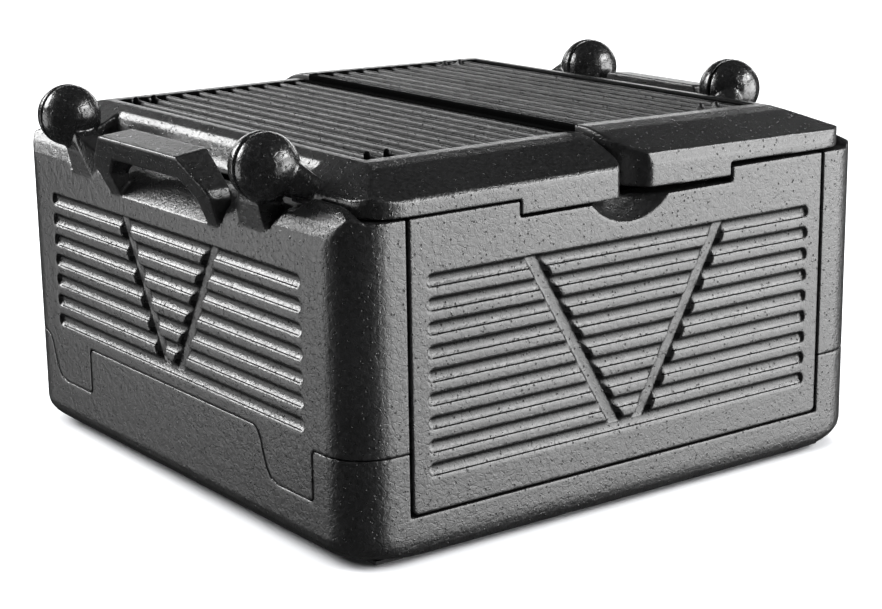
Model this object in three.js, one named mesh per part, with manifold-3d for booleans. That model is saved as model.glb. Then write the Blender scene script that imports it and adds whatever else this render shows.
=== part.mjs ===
// A folding insulated food carrier moulded in black bead foam.
// Base tray, two side walls with carrying handles, two end panels and a lid in two halves.
// Millimetres, +Z up. Origin on the floor at the middle of the carrier. The end panel with
// its face towards -Y is the front, and the side walls stand at -X (left) and +X (right).

import * as THREE from 'three';
import { mergeVertices } from 'three/addons/utils/BufferGeometryUtils.js';
import Module from 'manifold-3d';

// Driving dimensions
const BODY = 400; // outside width and depth of the walls
const CORNER_R = 28.5; // upright outside corners
const WALL = 25; // foam thickness of walls and end panels
const GAP = 0.4; // between fixed pieces that touch
const PLAY = 2; // between pieces that move past each other
const LID_PLAY = 1; // between the closed lid and the walls
const BASE_Z = 3.2; // underside of the base tray
const UNDERCUT = { side: 17, end: 6, rise: 14, corner: 14, steps: 5 }; // rounded lower edge of the base tray
const FLOOR_Z = 28; // inside floor
const POST_Z = 66; // top of the base tray's corner posts
const TAB_Z = 35.5; // foot of the side walls' tabs
const TAB_NOTCH = { starts: [-160.5, 109.5], corner: 4, flat: 38, bendLow: 57, bendHigh: 50, width: 64 };
const WALL_TOP_Z = 198.5; // top of the side walls and end panels
const STEP_Z = 189; // lowered middle of an end panel's top edge
const STEP_HALF = 82; // half width of that lowered middle
const OPENING_HALF = 160.8; // half width of the opening between the corner columns
const AXIS_Z = 221.2; // lid hinge axis, in the plane of a side wall's outer face
const BALL_R = 20; // ball-shaped hinge knuckles
const RIM_Z = 223; // top of the lid's rim
const LID_HALF_X = 184; // outer edge of a lid half at its corners
const LID_SIDE_Z = 209; // top of that outer edge
const LID_CORNER = 24; // rounding of a lid half's outer corners, in plan
const NOTCH_DEPTH = 34; // how far the notch between the lid halves reaches in
const HANDLE_EDGE_X = 171; // outer edge of a lid half beside the handle
const PANEL_PIVOT_Z = 41.8; // height of an end panel's pivots
const PANEL_CORNER = 4; // rounding of an end panel's lower corners
const FINGER = { radius: 45, out: 20.6, up: 26.6 }; // ball that cuts the finger scoop, from its edge
const PIN_R = 3; // pivot pins of walls and end panels
const LID_PIN_R = 4; // hinge pins inside the ball knuckles
const PIN_PLAY = 0.3; // radial room round a pivot pin
const FOOT = { height: 3, half: 9, x: 167, y: 177.5 };
const SCOOP_Z = 177.5; // outer lip of a handle's finger opening
const BAR_Z = 218.5; // outer top edge of the handle bar
const FLARE = 17; // how far the handle leans out of the wall's face
const LEG_BEND_Z = 201; // height at which the handle's legs bend down
const LEG_TAPER = 5; // how much narrower the handle is at the foot of its legs
const BAR_FOOT_Z = 204; // underside of the handle bar
const PIN_HALF = 12; // half length of every pin
const SLIT = 0.9; // half of the gap between the two halves of a ball knuckle
const SHOULDER_R = 16; // rounded outer edge of a side wall's top
const SCOOP_DEPTH = 22; // how far the scoop behind a handle reaches into the wall
const SHOULDER_Z = 206.4; // top of the raised shoulders beside the lid's corners
const SEAM = 1.2; // half of the gap between the lid halves
const RIM_X = 156; // outer edge of the lid's flat rim
const FIELD = { inner: 3.4, outer: 150, half: 147, floor: 216.5 };
const RIDGE = { first: 9.5, pitch: 13, count: 11, foot: 3, top: 1.2, crest: 222.4 };
const STUD = { radius: 2.2, at: 137, z: 223.6 }; // small knobs near the ends of the ridges

const HALF = BODY / 2;
const TALL = 300; // higher than the carrier, for cutting tools
const INNER = HALF - WALL;
const MID = HALF - WALL / 2; // middle of the wall thickness
const LID_Z = WALL_TOP_Z + LID_PLAY; // underside of the lid

// Hinge and handle sizes of each side wall. The right-hand knuckles stand closer together,
// so that they pass between the left-hand ones when both walls are folded down.
const LEFT = { sign: -1, ball: 120, bar: 48, leg: 72, openTop: 41, openFoot: 54 };
const RIGHT = { sign: 1, ball: 74, bar: 46, leg: 52, openTop: 36, openFoot: 40 };

// Lid halves: the notch where they meet, the bevel over the front and back faces, the knobs,
// and how far a half rests away from level, in degrees. The right half stands proud.
const LEFT_LID = { notch: 10, bend: 4, nose: 0.5, edge: 209.6, bevel: 2.4, studs: [129, 142.5], tilt: 0 };
const RIGHT_LID = { notch: 15, bend: 18, nose: 4, edge: 211.2, bevel: 6.5, studs: [114, 127.5], tilt: 1 };

// Rows of ribs, made by coves between them. A channel in the shape of a V cuts through every
// rib but the lowest.
const FRONT_RIBS = { rows: 9, top: 162, pitch: 13.6, half: 147.6, v: 73.5, slope: 0.575 };
const SIDE_RIBS = { rows: 7, top: 161, pitch: 13.8, half: 153, v: 56.5, slope: 0.56 };
const COVE_HALF = 4.4;
const PILL_DEPTH = 4; // deeper than any cove
const COVE = [[-1, 4.2], [0, 4.2], [2.5, 3.5], [3.3, 1.7], [3, -0.4], [1.8, -2.5], [0, -4.4], [-1, -4.4]];
const CHANNEL = { depth: 4, floor: 4.4, mouth: 6.6 };

// Pivots of the side walls, at the straight side of each tab
const WALL_PIN_Y = [-160.3, 109.7];
const WALL_PIN_Z = 50;
const PIN_ROOM = 12.5; // half length of a pin's hole
const PANEL_HOLE_END = 172.5; // blind end of an end panel's pin hole in a corner post
const INNER_HALF = 150; // any place inside the opening between the posts

// Round lumps whose hull is the neck between the lid and a half knuckle; y is from its middle
const NECK = [
  { x: HALF - 8, y: 9, z: AXIS_Z - 1, radius: 8 },
  { x: HALF - 8, y: 9, z: AXIS_Z - 7, radius: 8 },
  { x: LID_HALF_X - 9, y: 12, z: LID_Z + 6, radius: 4.5 },
  { x: LID_HALF_X - 9, y: 28, z: LID_Z + 5.5, radius: 4.5 },
];

const wasm = await Module();
wasm.setup();

// Extruded outlines lie in the plane across the named axis: (y, z), (x, z) or (x, y).
const TURN = {
  x: new THREE.Matrix4().makeBasis(
    new THREE.Vector3(0, 1, 0),
    new THREE.Vector3(0, 0, 1),
    new THREE.Vector3(1, 0, 0),
  ),
  y: new THREE.Matrix4().makeBasis(
    new THREE.Vector3(1, 0, 0),
    new THREE.Vector3(0, 0, 1),
    new THREE.Vector3(0, -1, 0),
  ),
  z: new THREE.Matrix4(),
};

function solid(geometry) {
  geometry.deleteAttribute('normal');
  geometry.deleteAttribute('uv');
  const welded = mergeVertices(geometry, 1e-4);
  return new wasm.Manifold(new wasm.Mesh({
    numProp: 3,
    vertProperties: new Float32Array(welded.attributes.position.array),
    triVerts: new Uint32Array(welded.index.array),
  }));
}

function shapeOf(outline) {
  if (outline instanceof THREE.Shape) return outline;
  return new THREE.Shape(outline.map(([u, v]) => new THREE.Vector2(u, v)));
}

function prism(axis, from, to, outline, curveSegments = 6) {
  const low = Math.min(from, to);
  const high = Math.max(from, to);
  const geometry = new THREE.ExtrudeGeometry(shapeOf(outline), {
    depth: high - low,
    bevelEnabled: false,
    curveSegments,
  });
  geometry.applyMatrix4(TURN[axis]);
  geometry.translate(
    axis === 'x' ? low : 0,
    axis === 'y' ? high : 0,
    axis === 'z' ? low : 0,
  );
  return solid(geometry);
}

function box(x0, x1, y0, y1, z0, z1) {
  const geometry = new THREE.BoxGeometry(Math.abs(x1 - x0), y1 - y0, z1 - z0);
  geometry.translate((x0 + x1) / 2, (y0 + y1) / 2, (z0 + z1) / 2);
  return solid(geometry);
}

// Both places along Y at the front (end -1) or the back (end 1), in rising order
function span(end, near, far) {
  return [Math.min(end * near, end * far), Math.max(end * near, end * far)];
}

function circle(u, v, radius) {
  const shape = new THREE.Shape();
  shape.absarc(u, v, radius, 0, Math.PI * 2);
  return shape;
}

// A round pin or hole along an axis, centred on (u, v) in the plane across it.
function rod(axis, from, to, u, v, radius) {
  return prism(axis, from, to, circle(u, v, radius), 20);
}

function ball(x, y, z, radius, detail) {
  const geometry = new THREE.SphereGeometry(radius, detail * 1.5, detail);
  geometry.rotateX(Math.PI / 2);
  geometry.translate(x, y, z);
  return solid(geometry);
}

function roundedSquare(half, radius) {
  const shape = new THREE.Shape();
  const c = half - radius;
  shape.moveTo(half, -c);
  shape.absarc(c, c, radius, 0, Math.PI / 2);
  shape.absarc(-c, c, radius, Math.PI / 2, Math.PI);
  shape.absarc(-c, -c, radius, Math.PI, Math.PI * 1.5);
  shape.absarc(c, -c, radius, Math.PI * 1.5, Math.PI * 2);
  return shape;
}

// The upper edge of the base tray along one side, as seen from outside: two notches, each
// straight and upright on one side and S-shaped on the other, take the side wall's tabs.
// grow widens the outline of the tray, for cutting the wall that stands on it.
function trayEdge(grow) {
  const shape = new THREE.Shape();
  const top = POST_Z + grow;
  const low = TAB_Z + grow;
  const { corner, flat, bendLow, bendHigh, width } = TAB_NOTCH;
  shape.moveTo(-HALF - 1, 0);
  shape.lineTo(-HALF - 1, top);
  for (const y of TAB_NOTCH.starts) {
    const straight = y + grow;
    shape.lineTo(straight - corner, top);
    shape.quadraticCurveTo(straight, top, straight, top - corner);
    shape.lineTo(straight, low + corner);
    shape.quadraticCurveTo(straight, low, straight + corner, low);
    const s = y - grow;
    shape.lineTo(s + flat, low);
    shape.bezierCurveTo(s + bendLow, low, s + bendHigh, top, s + width, top);
  }
  shape.lineTo(HALF + 1, top);
  shape.lineTo(HALF + 1, 0);
  return shape;
}

// The outline of one cove, with round ends.
function pill(half, z) {
  const r = COVE_HALF;
  const shape = new THREE.Shape();
  shape.moveTo(-half + r, z - r);
  shape.lineTo(half - r, z - r);
  shape.absarc(half - r, z, r, -Math.PI / 2, Math.PI / 2);
  shape.lineTo(-half + r, z + r);
  shape.absarc(-half + r, z, r, Math.PI / 2, Math.PI * 1.5);
  return shape;
}

// The coves between the ribs of a face across the named axis, and the V-shaped channel
function ribRecess(axis, face, ribs) {
  const out = Math.sign(face);
  const along = axis === 'y' ? 'x' : 'y';
  const pieces = [];
  for (let row = 0; row < ribs.rows; row += 1) {
    const z = ribs.top - row * ribs.pitch;
    const section = COVE.map(([depth, height]) => [face - out * depth, z + height]);
    const cove = prism(along, -ribs.half, ribs.half, section);
    pieces.push(cove.intersect(prism(axis, face - out * PILL_DEPTH, face + out, pill(ribs.half, z), 3)));
  }
  const high = ribs.top + COVE_HALF - 0.3;
  const low = ribs.top - (ribs.rows - 1) * ribs.pitch;
  const lean = ribs.slope * (high - low);
  for (const sign of [-1, 1]) {
    const arm = (half) => [
      [sign * ribs.v - half, high],
      [sign * ribs.v + half, high],
      [sign * (ribs.v - lean) + half, low],
      [sign * (ribs.v - lean) - half, low],
    ];
    const depth = face - out * CHANNEL.depth;
    pieces.push(wasm.Manifold.hull([
      prism(axis, depth, depth + out * 0.01, arm(CHANNEL.floor)),
      prism(axis, face, face + out, arm(CHANNEL.mouth)),
    ]));
  }
  return wasm.Manifold.union(pieces);
}

// Base tray: thick floor, four corner posts, raised side sills, rounded lower edge
function baseTray() {
  const slices = [prism('z', POST_Z - 1, POST_Z, roundedSquare(HALF, CORNER_R))];
  for (let step = 0; step <= UNDERCUT.steps; step += 1) {
    const angle = (Math.PI / 2) * (step / UNDERCUT.steps);
    const inset = 1 - Math.sin(angle);
    const z = BASE_Z + UNDERCUT.rise * (1 - Math.cos(angle));
    const halfX = HALF - UNDERCUT.side * inset;
    const halfY = HALF - UNDERCUT.end * inset;
    const slice = prism('z', 0, 0.01, roundedSquare(HALF, CORNER_R + UNDERCUT.corner * inset));
    slices.push(slice.scale([halfX / HALF, halfY / HALF, 1]).translate(0, 0, z));
  }
  let tray = wasm.Manifold.hull(slices);
  tray = tray.subtract(prism('z', FLOOR_Z, POST_Z + 1, roundedSquare(INNER, CORNER_R - WALL)));
  tray = tray.subtract(
    box(-OPENING_HALF, OPENING_HALF, -HALF - 1, HALF + 1, FLOOR_Z, POST_Z + 1),
  );
  for (const sign of [-1, 1]) {
    const side = prism('x', sign * (OPENING_HALF + 0.1), sign * (HALF + 1), trayEdge(0));
    const room = box(sign * (OPENING_HALF + 0.1), sign * (HALF + 1), -HALF - 1, HALF + 1, 0, TALL);
    tray = tray.subtract(room.subtract(side));
    for (const end of [-1, 1]) {
      const y = end * MID;
      tray = tray.subtract(
        rod('x', sign * INNER_HALF, sign * PANEL_HOLE_END, y, PANEL_PIVOT_Z, PIN_R + PIN_PLAY),
      );
    }
    for (const y of WALL_PIN_Y) {
      tray = tray.subtract(
        rod('y', y - PIN_ROOM, y + PIN_ROOM, sign * MID, WALL_PIN_Z, PIN_R + PIN_PLAY),
      );
    }
  }
  return tray;
}

// Side wall: slab with wrap-round corner columns, handle arch and two half knuckles
function sideWall(size) {
  const s = size.sign;
  const round = SHOULDER_R;
  let wall = prism('z', 1, WALL_TOP_Z, roundedSquare(HALF, CORNER_R));
  wall = wall.subtract(prism('z', 0, RIM_Z, roundedSquare(INNER, CORNER_R - WALL)));
  wall = wall.intersect(box(s * OPENING_HALF, s * (HALF + 1), -HALF - 1, HALF + 1, 0, RIM_Z));
  wall = wall.subtract(prism('x', s * (OPENING_HALF - 1), s * (HALF + 2), trayEdge(GAP)));

  const rounding = new THREE.Shape();
  rounding.moveTo(s * (HALF - round), WALL_TOP_Z);
  if (s > 0) rounding.absarc(HALF - round, WALL_TOP_Z - round, round, Math.PI / 2, 0, true);
  else rounding.absarc(round - HALF, WALL_TOP_Z - round, round, Math.PI / 2, Math.PI);
  rounding.lineTo(s * (HALF + 1), WALL_TOP_Z - round);
  rounding.lineTo(s * (HALF + 1), WALL_TOP_Z + 1);
  rounding.lineTo(s * (HALF - round), WALL_TOP_Z + 1);
  wall = wall.subtract(prism('y', -HALF - 1, HALF + 1, rounding));

  for (const end of [-1, 1]) wall = wall.add(raisedShoulder(size, end));

  // sloping scoop behind and under the handle, then the notches beside legs and knuckles
  const scoop = [
    [s * (HALF + 1), SCOOP_Z],
    [s * HALF, SCOOP_Z],
    [s * (HALF - SCOOP_DEPTH), WALL_TOP_Z + 1],
    [s * (HALF + 1), WALL_TOP_Z + 1],
  ];
  wall = wall.subtract(prism('y', -size.leg + 3, size.leg - 3, scoop));
  for (const end of [-1, 1]) {
    const besideLeg = [
      [end * (size.leg - 3.1), SCOOP_Z + 3],
      [end * (size.leg - 1), SCOOP_Z + 5],
      [end * (size.leg + 6), WALL_TOP_Z + 1],
      [end * (size.leg - 3.1), WALL_TOP_Z + 1],
    ];
    const besideKnuckle = [
      [end * (size.ball + 1.5), SCOOP_Z + 7],
      [end * (size.ball + 9), WALL_TOP_Z + 1],
      [end * (size.ball - 4), WALL_TOP_Z + 1],
    ];
    wall = wall.subtract(prism('x', s * (HALF - 17), s * (HALF + 1), besideLeg));
    wall = wall.subtract(prism('x', s * (HALF - 14), s * (HALF + 1), besideKnuckle));
  }

  wall = wall.add(handleArch(size));
  for (const end of [-1, 1]) wall = wall.add(wallKnuckle(size, end));
  for (const end of [-1, 1]) {
    const y = end * size.ball;
    wall = wall.subtract(rod('y', y - PIN_ROOM, y + PIN_ROOM, s * HALF, AXIS_Z, LID_PIN_R + PIN_PLAY));
  }
  for (const y of WALL_PIN_Y) {
    wall = wall.subtract(
      rod('y', y - PIN_ROOM, y + PIN_ROOM, s * MID, WALL_PIN_Z, PIN_R + PIN_PLAY),
    );
  }
  return wall.subtract(ribRecess('x', s * HALF, SIDE_RIBS));
}

// The arch leans outwards from the wall and ends in a flat bar.
function handleArch(size) {
  const s = size.sign;
  const section = [
    [s * HALF, SCOOP_Z],
    [s * (HALF + FLARE), BAR_Z],
    [s * (HALF - 7), BAR_Z + 2.5],
    [s * (HALF - 7), SCOOP_Z + 6],
    [s * (HALF - 12), SCOOP_Z - 8],
    [s * HALF, SCOOP_Z - 8],
  ];
  const outline = new THREE.Shape([
    new THREE.Vector2(-size.leg + LEG_TAPER, SCOOP_Z - 8),
    new THREE.Vector2(size.leg - LEG_TAPER, SCOOP_Z - 8),
    new THREE.Vector2(size.leg - LEG_TAPER, SCOOP_Z + 1),
    new THREE.Vector2(size.leg, LEG_BEND_Z - 6),
    new THREE.Vector2(size.leg - 2, LEG_BEND_Z),
    new THREE.Vector2(size.bar, RIM_Z - 4),
    new THREE.Vector2(size.bar - 4, RIM_Z),
    new THREE.Vector2(-size.bar + 4, RIM_Z),
    new THREE.Vector2(-size.bar, RIM_Z - 4),
    new THREE.Vector2(-size.leg + 2, LEG_BEND_Z),
    new THREE.Vector2(-size.leg, LEG_BEND_Z - 6),
    new THREE.Vector2(-size.leg + LEG_TAPER, SCOOP_Z + 1),
  ]);
  const opening = [
    [-size.openFoot, SCOOP_Z],
    [size.openFoot, SCOOP_Z],
    [size.openFoot, LEG_BEND_Z - 8],
    [size.openTop, BAR_FOOT_Z],
    [-size.openTop, BAR_FOOT_Z],
    [-size.openFoot, LEG_BEND_Z - 8],
  ];
  const arch = prism('y', -size.leg - 1, size.leg + 1, section);
  const trapezoid = prism('x', s * (HALF - 12), s * (HALF + FLARE + 1), outline);
  const hole = prism('x', s * (HALF - 13), s * (HALF + FLARE + 2), opening);
  const below = [
    [s * (HALF + FLARE), SCOOP_Z - 20],
    [s * (HALF + FLARE), SCOOP_Z],
    [s * HALF, SCOOP_Z],
    [s * (HALF - SCOOP_DEPTH), WALL_TOP_Z + 1],
    [s * (HALF - SCOOP_DEPTH), SCOOP_Z - 20],
  ];
  return arch.intersect(trapezoid).subtract(hole.subtract(prism('y', -size.leg, size.leg, below)));
}

// Half of a ball knuckle, round towards +Y or -Y and flat on the other side
function halfBall(s, y, towards) {
  const room = BALL_R + 1;
  const along = [Math.min(y, y + towards * room), Math.max(y, y + towards * room)];
  const whole = ball(s * HALF, y, AXIS_Z, BALL_R, 16);
  const keep = box(-room, room, ...along, -room, room).translate(s * HALF, 0, AXIS_Z);
  return whole.intersect(keep);
}

// The wall rises beside the lid's corner and rounds over outwards.
function raisedShoulder(size, end) {
  const s = size.sign;
  const section = [
    [s * (HALF - 14.2), WALL_TOP_Z - 8],
    [s * (HALF - 14.2), SHOULDER_Z - 0.8],
    [s * (HALF - 12.6), SHOULDER_Z],
    [s * (HALF - 8.8), SHOULDER_Z - 3.6],
    [s * (HALF - 4.2), SHOULDER_Z - 9.6],
    [s * (HALF - 0.9), SHOULDER_Z - 17.4],
    [s * HALF, SHOULDER_Z - 25],
    [s * (HALF - 6), SHOULDER_Z - 25],
  ];
  const profile = [
    [end * (size.ball + 4), WALL_TOP_Z - 16],
    [end * (size.ball + 10), WALL_TOP_Z - 3],
    [end * (size.ball + 19), WALL_TOP_Z],
    [end * (size.ball + 25), WALL_TOP_Z + 4],
    [end * (size.ball + 33), SHOULDER_Z + 1],
    [end * (HALF - 30), SHOULDER_Z + 1],
    [end * (HALF - 18), SHOULDER_Z - 1.5],
    [end * (HALF - 9), WALL_TOP_Z + 3],
    [end * (HALF - 3), WALL_TOP_Z + 0.5],
    [end * (HALF + 1), WALL_TOP_Z - 16],
  ];
  const ridge = prism('y', ...span(end, size.ball + 4, HALF), section);
  const rise = prism('x', s * (HALF - 16), s * HALF, profile);
  const plan = prism('z', WALL_TOP_Z - 17, SHOULDER_Z + 2, roundedSquare(HALF, CORNER_R));
  return ridge.intersect(rise).intersect(plan);
}

// The half ball nearer the handle, on a bracket that runs down into the wall's face
function wallKnuckle(size, end) {
  const s = size.sign;
  const y = end * size.ball;
  const half = halfBall(s, y - end * SLIT, -end);
  const outer = span(end, size.leg + (size.ball - size.leg) * 0.4, size.ball - 1);
  const inner = span(end, size.leg + 1, size.ball - 1);
  const underBall = span(end, size.ball - BALL_R + 1, size.ball - SLIT);
  const bracket = wasm.Manifold.hull([
    box(s * (HALF - 9), s * (HALF + 6), ...underBall, AXIS_Z - 14, AXIS_Z - 8),
    box(s * (HALF - 8), s * HALF, ...outer, SCOOP_Z + 5.5, SCOOP_Z + 7),
    box(s * (HALF - 16), s * (HALF - 9), ...inner, SCOOP_Z + 8, SCOOP_Z + 12),
  ]);
  return half.add(bracket);
}

// End panel: stepped top edge, finger scoop, ribbed outer face, rounded inner foot
function endPanel(end) {
  const face = end * HALF;
  const half = OPENING_HALF - PLAY + 0.1;
  const base = PANEL_PIVOT_Z - WALL / 2;
  const low = PANEL_CORNER;
  const outline = new THREE.Shape();
  outline.moveTo(-half + low, base);
  outline.lineTo(half - low, base);
  outline.quadraticCurveTo(half, base, half, base + low);
  outline.lineTo(half, WALL_TOP_Z);
  outline.lineTo(STEP_HALF, WALL_TOP_Z);
  outline.lineTo(STEP_HALF, STEP_Z);
  outline.lineTo(-STEP_HALF, STEP_Z);
  outline.lineTo(-STEP_HALF, WALL_TOP_Z);
  outline.lineTo(-half, WALL_TOP_Z);
  outline.lineTo(-half, base + low);
  outline.quadraticCurveTo(-half, base, -half + low, base);
  let panel = prism('y', face, end * INNER, outline);

  // the inner lower edge is rounded about the pivots, so that it clears the floor
  const heel = new THREE.Shape();
  heel.moveTo(end * (INNER - 1), base - 1);
  heel.lineTo(end * (INNER - 1), PANEL_PIVOT_Z);
  heel.lineTo(end * INNER, PANEL_PIVOT_Z);
  if (end < 0) heel.absarc(-MID, PANEL_PIVOT_Z, WALL / 2, 0, -Math.PI / 2, true);
  else heel.absarc(MID, PANEL_PIVOT_Z, WALL / 2, Math.PI, Math.PI * 1.5);
  heel.lineTo(end * MID, base - 1);
  panel = panel.subtract(prism('x', -HALF, HALF, heel));

  const scoop = new THREE.SphereGeometry(FINGER.radius, 32, 24);
  scoop.translate(0, end * (HALF + FINGER.out), STEP_Z + FINGER.up);
  panel = panel.subtract(solid(scoop));
  for (const sign of [-1, 1]) {
    const hole = rod('x', half - PIN_HALF, half + 1, end * MID, PANEL_PIVOT_Z, PIN_R + PIN_PLAY);
    panel = panel.subtract(sign > 0 ? hole : hole.mirror([1, 0, 0]));
  }
  return panel.subtract(ribRecess('y', face, FRONT_RIBS));
}

// Lid half: bevelled plate with a ridged field, stepped lips and two half knuckles
function lidHalf(size, lidSize) {
  const s = size.sign;
  const corner = LID_CORNER;
  const beside = size.ball + 1;
  const { notch, bend, nose, edge, bevel } = lidSize;
  const plan = new THREE.Shape();
  plan.moveTo(s * SEAM, -HALF + NOTCH_DEPTH);
  plan.quadraticCurveTo(s * SEAM, -HALF + bend, s * (notch - nose / 2), -HALF + nose);
  plan.quadraticCurveTo(s * notch, -HALF, s * (notch + nose), -HALF);
  plan.lineTo(s * (LID_HALF_X - corner), -HALF);
  plan.quadraticCurveTo(s * LID_HALF_X, -HALF, s * LID_HALF_X, -HALF + corner);
  plan.lineTo(s * LID_HALF_X, -beside);
  plan.lineTo(s * HANDLE_EDGE_X, -beside);
  plan.lineTo(s * HANDLE_EDGE_X, beside);
  plan.lineTo(s * LID_HALF_X, beside);
  plan.lineTo(s * LID_HALF_X, HALF - corner);
  plan.quadraticCurveTo(s * LID_HALF_X, HALF, s * (LID_HALF_X - corner), HALF);
  plan.lineTo(s * (notch + nose), HALF);
  plan.quadraticCurveTo(s * notch, HALF, s * (notch - nose / 2), HALF - nose);
  plan.quadraticCurveTo(s * SEAM, HALF - bend, s * SEAM, HALF - NOTCH_DEPTH);
  const lip = STEP_Z + 1.7;
  let lid = prism('z', lip, RIM_Z, plan, 12);
  lid = lid.subtract(box(s * (STEP_HALF - 1), s * HALF, -HALF - 1, HALF + 1, lip - 1, LID_Z));
  lid = lid.subtract(box(0, s * HALF, -INNER - 1, INNER + 1, lip - 1, LID_Z));
  const across = [
    [-HALF, lip],
    [-HALF, edge - bevel],
    [-HALF + 1.8, edge],
    [-RIM_X - 10, RIM_Z - 2],
    [-RIM_X, RIM_Z],
    [RIM_X, RIM_Z],
    [RIM_X + 10, RIM_Z - 2],
    [HALF - 1.8, edge],
    [HALF, edge - bevel],
    [HALF, lip],
  ];
  lid = lid.intersect(prism('x', 0, s * HALF, across));
  const outerSlope = [
    [s * RIM_X, RIM_Z],
    [s * LID_HALF_X, LID_SIDE_Z],
    [s * (LID_HALF_X + 1), LID_SIDE_Z],
    [s * (LID_HALF_X + 1), RIM_Z + 1],
    [s * RIM_X, RIM_Z + 1],
  ];
  lid = lid.subtract(prism('y', -HALF - 1, HALF + 1, outerSlope));
  const handleSlope = [
    [s * RIM_X, RIM_Z],
    [s * (RIM_X + 6), RIM_Z - 2.6],
    [s * (RIM_X + 9), RIM_Z - 7],
    [s * (HANDLE_EDGE_X - 3), LID_Z + 7],
    [s * (HANDLE_EDGE_X + 1), LID_Z + 1.5],
    [s * (LID_HALF_X + 1), LID_Z + 1.5],
    [s * (LID_HALF_X + 1), RIM_Z + 1],
    [s * RIM_X, RIM_Z + 1],
  ];
  lid = lid.subtract(prism('y', -beside + 0.1, beside - 0.1, handleSlope));

  const field = [[s * FIELD.inner, RIM_Z + 1], [s * FIELD.inner, FIELD.floor]];
  for (let k = 0; k < RIDGE.count; k += 1) {
    const x = RIDGE.first + k * RIDGE.pitch;
    field.push([s * (x - RIDGE.foot), FIELD.floor], [s * (x - RIDGE.top), RIDGE.crest]);
    field.push([s * (x + RIDGE.top), RIDGE.crest], [s * (x + RIDGE.foot), FIELD.floor]);
  }
  field.push([s * FIELD.outer, FIELD.floor], [s * FIELD.outer, RIM_Z + 1]);
  lid = lid.subtract(prism('y', -FIELD.half, FIELD.half, field));
  for (const x of lidSize.studs) {
    for (const end of [-1, 1]) {
      const stem = prism('z', FIELD.floor - 1, STUD.z, circle(s * x, end * STUD.at, STUD.radius));
      lid = lid.add(stem).add(ball(s * x, end * STUD.at, STUD.z, STUD.radius, 8));
    }
  }

  for (const end of [-1, 1]) lid = lid.add(lidKnuckle(size, end));
  lid = lid.translate(-s * HALF, 0, -AXIS_Z).rotate([0, s * lidSize.tilt, 0]);
  lid = lid.translate(s * HALF, 0, AXIS_Z);
  for (const end of [-1, 1]) {
    const y = end * size.ball;
    lid = lid.subtract(rod('y', y - PIN_ROOM, y + PIN_ROOM, s * HALF, AXIS_Z, LID_PIN_R + PIN_PLAY));
  }
  return lid;
}

// The half ball nearer the corner, on a neck that blends into the lid's corner
function lidKnuckle(size, end) {
  const s = size.sign;
  const half = halfBall(s, end * (size.ball + SLIT), end);
  const neck = wasm.Manifold.hull(NECK.map(({ x, y, z, radius }) => (
    ball(s * x, end * (size.ball + y), z, radius, 10)
  )));
  return half.add(neck);
}

// A foot is a square pad, a little wider where it meets the base tray.
function foot() {
  const toCorner = FOOT.half * Math.SQRT2;
  const geometry = new THREE.CylinderGeometry(toCorner * 1.15, toCorner, FOOT.height, 4);
  geometry.rotateX(Math.PI / 2);
  geometry.rotateZ(Math.PI / 4);
  return solid(geometry);
}

const FOAM = new THREE.MeshStandardMaterial({ color: 0x2c2d2e, roughness: 0.62, metalness: 0 });
const PIN = new THREE.MeshStandardMaterial({ color: 0x191a1b, roughness: 0.4, metalness: 0 });
const RUBBER = new THREE.MeshStandardMaterial({ color: 0x151515, roughness: 0.85, metalness: 0 });

const carrier = new THREE.Group();

function place(name, piece, material, position = [0, 0, 0]) {
  const mesh = piece.getMesh();
  const geometry = new THREE.BufferGeometry();
  geometry.setAttribute('position', new THREE.BufferAttribute(mesh.vertProperties, 3));
  geometry.setIndex(new THREE.BufferAttribute(mesh.triVerts, 1));
  const item = new THREE.Mesh(geometry, material);
  item.name = name;
  item.position.set(...position);
  carrier.add(item);
}

place('base_tray', baseTray(), FOAM);
place('left_side_wall', sideWall(LEFT), FOAM);
place('right_side_wall', sideWall(RIGHT), FOAM);
place('front_end_panel', endPanel(-1), FOAM);
place('back_end_panel', endPanel(1), FOAM);
place('left_lid_half', lidHalf(LEFT, LEFT_LID), FOAM);
place('right_lid_half', lidHalf(RIGHT, RIGHT_LID), FOAM);

for (const size of [LEFT, RIGHT]) {
  const side = size.sign < 0 ? 'left' : 'right';
  for (const end of [-1, 1]) {
    const where = end < 0 ? 'front' : 'back';
    const lidPin = rod('y', -PIN_HALF, PIN_HALF, 0, 0, LID_PIN_R);
    place(`lid_pin_${where}_${side}`, lidPin, PIN, [size.sign * HALF, end * size.ball, AXIS_Z]);
    const panelPin = rod('x', -PIN_HALF, PIN_HALF, 0, 0, PIN_R);
    const panelPinX = size.sign * (OPENING_HALF - 1);
    place(`panel_pin_${where}_${side}`, panelPin, PIN, [panelPinX, end * MID, PANEL_PIVOT_Z]);
    const wallPin = rod('y', -PIN_HALF, PIN_HALF, 0, 0, PIN_R);
    const wallPinY = WALL_PIN_Y[end < 0 ? 0 : 1];
    place(`wall_pin_${where}_${side}`, wallPin, PIN, [size.sign * MID, wallPinY, WALL_PIN_Z]);
    const footAt = [size.sign * FOOT.x, end * FOOT.y, FOOT.height / 2];
    place(`foot_${where}_${side}`, foot(), RUBBER, footAt);
  }
}

export default carrier;
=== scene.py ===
"""A folding insulated food carrier in black bead foam, on a pale studio floor.

The CAD model gives every shape and place. Foam pieces are remeshed finely and their edges
softened as moulded foam has them, and each finish is worked out by shader nodes, which also paint
shade into the foam's colour in its pits, rib coves and creases and on the lid's ridged field.
Metres, +Z up.
"""

import math

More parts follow.
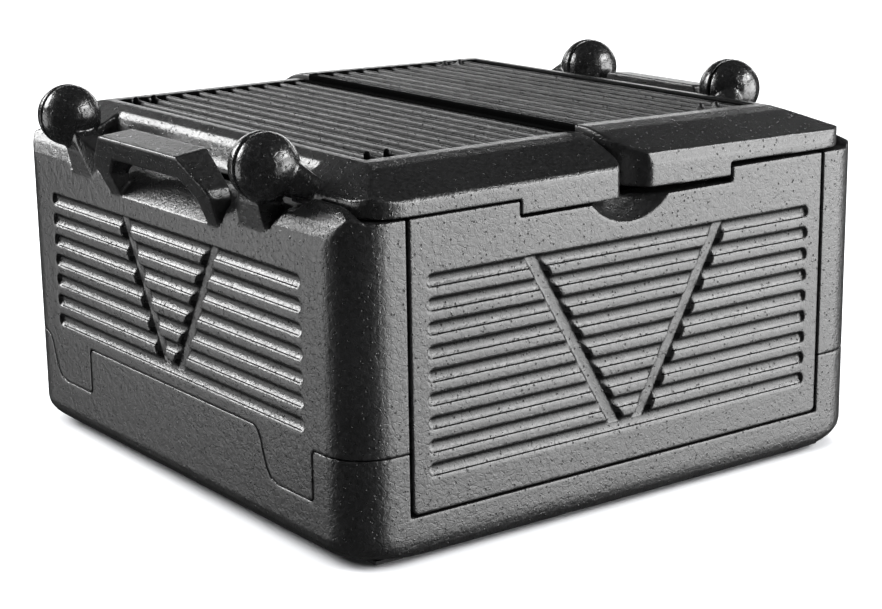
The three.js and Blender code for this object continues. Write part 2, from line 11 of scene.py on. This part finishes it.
import bpy
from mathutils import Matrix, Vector

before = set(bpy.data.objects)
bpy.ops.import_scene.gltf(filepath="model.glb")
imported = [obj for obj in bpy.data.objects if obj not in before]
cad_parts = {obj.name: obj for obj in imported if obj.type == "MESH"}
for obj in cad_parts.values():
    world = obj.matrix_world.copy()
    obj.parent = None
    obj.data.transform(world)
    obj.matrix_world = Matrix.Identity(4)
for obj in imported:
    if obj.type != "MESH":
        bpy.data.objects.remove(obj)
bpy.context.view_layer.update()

MM = 0.001
VOXEL = 0.9 * MM  # mesh size on the foam pieces
SOFTENING = 5  # smoothing passes, which round the foam's edges

# Places on the carrier where the foam's finish differs or shade is painted
HINGE_X = 0.2  # lid hinge axes, left and right of the middle
HINGE_Z = 0.2212
KNUCKLE_EDGE = (0.0205, 0.0225)  # the knuckle finish fades out over these radii
KNUCKLE_FROM = {"left": 0.0975, "right": 0.053}  # knuckles lie further out than this, along Y
FIELD = {"floor": 0.2155, "half_x": 0.151, "half_y": 0.1475}  # the lid's ridged field
RIDGES = {"first": 0.0095, "half_pitch": 0.0065}
CREST = (0.0012, 0.0028)  # a ridge's crest fades out over these distances from its middle
CREST_SPARED = 0.75  # how much less painted shade a crest gets than the field's floor

# Rows of ribs: middle of the top cove, distance between coves, number and half length
FRONT_RIBS = {"top": 0.162, "pitch": 0.0136, "rows": 9, "half": 0.144}
SIDE_RIBS = {"top": 0.161, "pitch": 0.0138, "rows": 7, "half": 0.149}
COVE_REACH = 0.0045  # from the middle of a cove to its edge
# Painted shade in the ribs: a dark line along each crease and a darker upper half of each cove
CREASE_DROP = 0.0033  # from the middle of a cove down to the crease
CREASE_WIDTH = (0.00015, 0.0004)
CREASE_OUT = 0.1977  # a crease lies further out than this
COVE_OUT = (0.1963, 0.199)  # the depth of a cove that gets painted shade
# how dark the painted shade on a cove's upper half is
COVE_SHADE = 0.7

# Brightness of the foam's parts, and of the shade painted in its pits, rib coves, creases and ridged
# field
TONE_DARK = 0.003
TONE_LIGHT = 0.005
TONE_GRAIN = 0.010
TONE_PIT_SHADE = 0.002
TONE_PAINTED_SHADE = 0.002

FOAM_NODES = (
    "base_tray",
    "left_side_wall",
    "right_side_wall",
    "front_end_panel",
    "back_end_panel",
    "left_lid_half",
    "right_lid_half",
)


# Materials ---------------------------------------------------------------------------


class Nodes:
    """Short calls for building one material's node tree."""

    def __init__(self, name):
        self.material = bpy.data.materials.new(name)
        self.material.use_nodes = True
        self.tree = self.material.node_tree
        self.shader = self.tree.nodes["Principled BSDF"]
        self.place = self.add("ShaderNodeTexCoord").outputs["Object"]

    def add(self, kind, **settings):
        node = self.tree.nodes.new(kind)
        for key, value in settings.items():
            setattr(node, key, value)
        return node

    def feed(self, socket, value):
        if hasattr(value, "is_output"):
            self.tree.links.new(value, socket)
        else:
            socket.default_value = value

    def axes(self):
        parts = self.add("ShaderNodeSeparateXYZ")
        self.feed(parts.inputs[0], self.place)
        return parts.outputs

    def shifted(self, amount):
        move = self.add("ShaderNodeVectorMath", operation="ADD")
        self.feed(move.inputs[0], self.place)
        move.inputs[1].default_value = (amount, amount, amount)
        return move.outputs[0]

    def noise(self, scale, detail=2.0, rough=0.5, distort=0.0, place=None):
        node = self.add("ShaderNodeTexNoise")
        self.feed(node.inputs["Vector"], place or self.place)
        node.inputs["Scale"].default_value = scale
        node.inputs["Detail"].default_value = detail
        node.inputs["Roughness"].default_value = rough
        node.inputs["Distortion"].default_value = distort
        return node.outputs["Fac"]

    def cells(self, scale, feature="F1", place=None, random=1.0):
        node = self.add("ShaderNodeTexVoronoi", feature=feature)
        self.feed(node.inputs["Vector"], place or self.place)
        node.inputs["Scale"].default_value = scale
        node.inputs["Randomness"].default_value = random
        return node.outputs["Distance"]

    def math(self, operation, a, b=0.0, c=0.0):
        node = self.add("ShaderNodeMath", operation=operation)
        for socket, value in zip(node.inputs, (a, b, c)):
            self.feed(socket, value)
        return node.outputs[0]

    def span(self, value, low, high, to_low=0.0, to_high=1.0):
        node = self.add("ShaderNodeMapRange", clamp=True)
        for key, amount in (
            ("Value", value),
            ("From Min", low),
            ("From Max", high),
            ("To Min", to_low),
            ("To Max", to_high),
        ):
            self.feed(node.inputs[key], amount)
        return node.outputs["Result"]

    def mix(self, factor, a, b):
        node = self.add("ShaderNodeMix", data_type="RGBA")
        self.feed(node.inputs["Factor"], factor)
        self.feed(node.inputs["A"], a)
        self.feed(node.inputs["B"], b)
        return node.outputs["Result"]

    def bump(self, height, depth, normal=None):
        node = self.add("ShaderNodeBump")
        node.inputs["Distance"].default_value = depth
        self.feed(node.inputs["Height"], height)
        if normal:
            self.feed(node.inputs["Normal"], normal)
        return node.outputs["Normal"]


def grey(level):
    return (level, level * 1.01, level * 1.03, 1.0)


def every(n, *tests):
    """The product of several masks."""
    product = tests[0]
    for test in tests[1:]:
        product = n.math("MULTIPLY", product, test)
    return product


def rib_painted_shade(n, out, along, z, ribs):
    """Painted shade on the ribs: a fine dark line where shade falls in the crease along each rib's
    foot, and a darker upper half of each cove.
    """
    pitch = ribs["pitch"]
    last = ribs["top"] - (ribs["rows"] - 1) * pitch
    phase = n.math("WRAP", n.math("SUBTRACT", z, ribs["top"]), pitch / 2, -pitch / 2)
    within = every(
        n,
        n.math("LESS_THAN", along, ribs["half"]),
        n.math("GREATER_THAN", z, last - COVE_REACH),
        n.math("LESS_THAN", z, ribs["top"] + COVE_REACH),
    )
    from_crease = n.math("ABSOLUTE", n.math("ADD", phase, CREASE_DROP))
    line = n.span(from_crease, *CREASE_WIDTH, 1.0, 0.0)
    # painted shade: a dark line where shade falls in the crease at each rib's foot
    crease_shade = every(n, line, n.math("GREATER_THAN", out, CREASE_OUT), within)

    below = n.math("GREATER_THAN", out, COVE_OUT[0])
    above = n.math("LESS_THAN", out, COVE_OUT[1])
    # painted shade on the upper half of each cove
    shade = every(n, below, above, n.span(phase, -0.0015, 0.0035, 0.0, COVE_SHADE), within)
    return n.math("MAXIMUM", crease_shade, shade)


def ridged_field(n, x, y, z):
    """The lid's ridged field: a mask for its matt finish and for painted shade that makes it nearly
    black, less so on the crests.
    """
    field = every(
        n,
        n.math("GREATER_THAN", z, FIELD["floor"]),
        n.math("LESS_THAN", x, FIELD["half_x"]),
        n.math("LESS_THAN", y, FIELD["half_y"]),
    )
    from_crest = n.math("PINGPONG", n.math("SUBTRACT", x, RIDGES["first"]), RIDGES["half_pitch"])
    crest = n.span(from_crest, *CREST, 1.0, 0.0)
    # painted shade over the field, lighter on the crests
    return n.math("MULTIPLY", field, n.math("SUBTRACT", 1.0, n.math("MULTIPLY", crest, CREST_SPARED)))


def knuckles(n, x, y, z, side):
    """The ball knuckles, which are smooth and glossier. side is x with its sign."""
    across = n.math("SUBTRACT", x, HINGE_X)
    up = n.math("SUBTRACT", z, HINGE_Z)
    squares = n.math("MULTIPLY_ADD", across, across, n.math("MULTIPLY", up, up))
    near_axis = n.span(n.math("SQRT", squares), *KNUCKLE_EDGE, 1.0, 0.0)
    start = n.span(side, -0.01, 0.01, KNUCKLE_FROM["left"], KNUCKLE_FROM["right"])
    return n.math("MULTIPLY", near_axis, n.math("GREATER_THAN", y, start))


def foam_material():
    n = Nodes("moulded_bead_foam")
    side, depth, z = n.axes()
    x = n.math("ABSOLUTE", side)
    y = n.math("ABSOLUTE", depth)
    # the ridged field: matt, and painted with shade
    valley = ridged_field(n, x, y, z)
    knuckle = knuckles(n, x, y, z, side)
    # painted shade in the creases and coves of the front and side ribs
    ribs = n.math("MAXIMUM", rib_painted_shade(n, y, x, z, FRONT_RIBS), rib_painted_shade(n, x, y, z, SIDE_RIBS))
    # painted shade in the rib coves and creases and on the lid's ridged field
    painted_shade = n.math("MAXIMUM", valley, ribs)

    grain = n.noise(430, detail=3, rough=0.6, distort=0.6)
    swell = n.noise(150, detail=2, rough=0.5, distort=0.4)
    patch = n.noise(11, detail=3)
    bead_edge = n.span(n.cells(210, feature="DISTANCE_TO_EDGE"), 0.0, 0.08)
    pit = n.span(n.cells(200), 0.1, 0.15)
    speck = n.span(n.cells(260, place=n.shifted(0.37)), 0.12, 0.2, 1.0, 0.0)

    colour = n.mix(n.span(patch, 0.35, 0.65), grey(TONE_DARK), grey(TONE_LIGHT))
    colour = n.mix(n.span(grain, 0.35, 0.7), colour, grey(TONE_GRAIN))
    # painted shade: each pit is darker inside
    colour = n.mix(pit, grey(TONE_PIT_SHADE), colour)
    # painted shade: darker colour in the rib coves and creases and on the ridged field
    colour = n.mix(painted_shade, colour, grey(TONE_PAINTED_SHADE))
    n.feed(n.shader.inputs["Base Color"], colour)

    rough = n.math("ADD", n.span(patch, 0.3, 0.7, 0.27, 0.32), n.span(grain, 0.3, 0.7, 0.0, 0.1))
    rough = n.math("ADD", rough, n.span(pit, 0, 1, 0.4, 0.0))
    rough = n.math("SUBTRACT", rough, n.math("MULTIPLY", speck, 0.15))
    rough = n.math("ADD", rough, n.math("MULTIPLY", valley, 0.2))
    rough = n.math("SUBTRACT", rough, n.math("MULTIPLY", knuckle, 0.1))
    n.feed(n.shader.inputs["Roughness"], rough)
    # less specular reflection where shade is painted
    n.feed(n.shader.inputs["Specular IOR Level"], n.span(painted_shade, 0.0, 1.0, 0.9, 0.1))
    n.feed(n.shader.inputs["IOR"], n.span(painted_shade, 0.0, 1.0, 1.5, 1.08))

    calm = n.math("SUBTRACT", 1.0, n.math("MULTIPLY", knuckle, 0.75))
    normal = n.bump(n.math("MULTIPLY", swell, calm), 0.3 * MM)
    normal = n.bump(n.math("MULTIPLY", grain, calm), 0.26 * MM, normal)
    normal = n.bump(bead_edge, 0.05 * MM, normal)
    normal = n.bump(speck, 0.12 * MM, normal)
    normal = n.bump(pit, 0.4 * MM, normal)
    n.feed(n.shader.inputs["Normal"], normal)
    return n.material


def moulded_plastic(name, level, rough):
    n = Nodes(name)
    haze = n.noise(300, detail=3)
    n.feed(n.shader.inputs["Base Color"], n.mix(haze, grey(level * 0.8), grey(level * 1.3)))
    n.feed(n.shader.inputs["Roughness"], n.span(haze, 0.3, 0.7, rough - 0.06, rough + 0.08))
    n.feed(n.shader.inputs["Normal"], n.bump(haze, 0.05 * MM))
    return n.material


def floor_material():
    n = Nodes("studio_floor")
    tone = n.noise(3.0)
    n.feed(n.shader.inputs["Base Color"], n.mix(tone, grey(0.9), grey(0.92)))
    n.shader.inputs["Roughness"].default_value = 0.8
    n.shader.inputs["Specular IOR Level"].default_value = 0.1
    return n.material


# Pieces ------------------------------------------------------------------------------


def wear(obj, material):
    obj.data.materials.clear()
    obj.data.materials.append(material)


def soften(obj):
    remesh = obj.modifiers.new("fine_mesh", "REMESH")
    remesh.mode = "VOXEL"
    remesh.voxel_size = VOXEL
    remesh.use_smooth_shade = True
    smooth = obj.modifiers.new("soft_edges", "SMOOTH")
    smooth.factor = 0.5
    smooth.iterations = SOFTENING


foam = foam_material()
pin = moulded_plastic("satin_black_pin", 0.02, 0.35)
rubber = moulded_plastic("matt_black_rubber", 0.012, 0.75)
for name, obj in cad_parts.items():
    if name in FOAM_NODES:
        soften(obj)
        wear(obj, foam)
    elif name.startswith("foot"):
        wear(obj, rubber)
    else:
        wear(obj, pin)


# Studio ------------------------------------------------------------------------------


def plane(name, size):
    mesh = bpy.data.meshes.new(name)
    h = size / 2
    mesh.from_pydata([(-h, -h, 0), (h, -h, 0), (h, h, 0), (-h, h, 0)], [], [(0, 1, 2, 3)])
    obj = bpy.data.objects.new(name, mesh)
    bpy.context.collection.objects.link(obj)
    return obj


# The floor neither shows in the glossy foam nor blocks the lights below it.
floor = plane("floor", 30)
wear(floor, floor_material())
floor.visible_glossy = False
floor.visible_shadow = False


def softbox(name, place, width, height, power):
    """A rectangular light that faces the middle of the carrier."""
    light = bpy.data.lights.new(name, "AREA")
    light.shape = "RECTANGLE"
    light.size = width
    light.size_y = height
    light.energy = power
    obj = bpy.data.objects.new(name, light)
    obj.location = place
    obj.rotation_euler = (MIDDLE - Vector(place)).to_track_quat("-Z", "Y").to_euler()
    bpy.context.collection.objects.link(obj)


MIDDLE = Vector((0, 0, 0.12))
# Low lights stand in for the pale floor's reflection, so some stand below it.
softbox("key", place=(1.7, -1.7, 0.3), width=2.4, height=1.1, power=60)
softbox("high_key", place=(1.25, -1.4, 1.3), width=1.8, height=0.5, power=40)
softbox("low_key", place=(1.3, -1.6, -0.55), width=2.2, height=0.6, power=17)
softbox("left_card", place=(-1.5, 1.3, -0.1), width=1.1, height=0.9, power=7.5)
softbox("back_card", place=(1.7, 2.2, 0.62), width=3.6, height=0.5, power=20)
softbox("far_left_card", place=(-0.9, 1.42, 0.95), width=0.9, height=0.6, power=27)

sky = bpy.data.lights.new("overhead", "SUN")
sky.energy = 4.45
sky.angle = math.radians(95)
overhead = bpy.data.objects.new("overhead", sky)
overhead.rotation_euler = (math.radians(-12), math.radians(-10), 0)
overhead.visible_glossy = False
bpy.context.collection.objects.link(overhead)

world = bpy.data.worlds.new("studio")
world.use_nodes = True
world.node_tree.nodes["Background"].inputs["Color"].default_value = (1, 1, 1, 1)
world.node_tree.nodes["Background"].inputs["Strength"].default_value = 0.03
bpy.context.scene.world = world
bpy.context.scene.view_settings.view_transform = "Standard"

CAMERA_PLACE = Vector((-0.779, -1.0785, 0.4252))
CAMERA_AIM = Vector((0.0075, 0, 0.085))
CAMERA_ROLL = math.radians(0.8)
camera = bpy.data.objects.new("camera", bpy.data.cameras.new("camera"))
camera.data.lens = 83.36
camera.data.sensor_width = 36
camera.location = CAMERA_PLACE
look = (CAMERA_AIM - CAMERA_PLACE).to_track_quat("-Z", "Y")
camera.rotation_euler = look.to_euler()
camera.rotation_euler.rotate_axis("Z", -CAMERA_ROLL)
bpy.context.collection.objects.link(camera)
bpy.context.scene.camera = camera
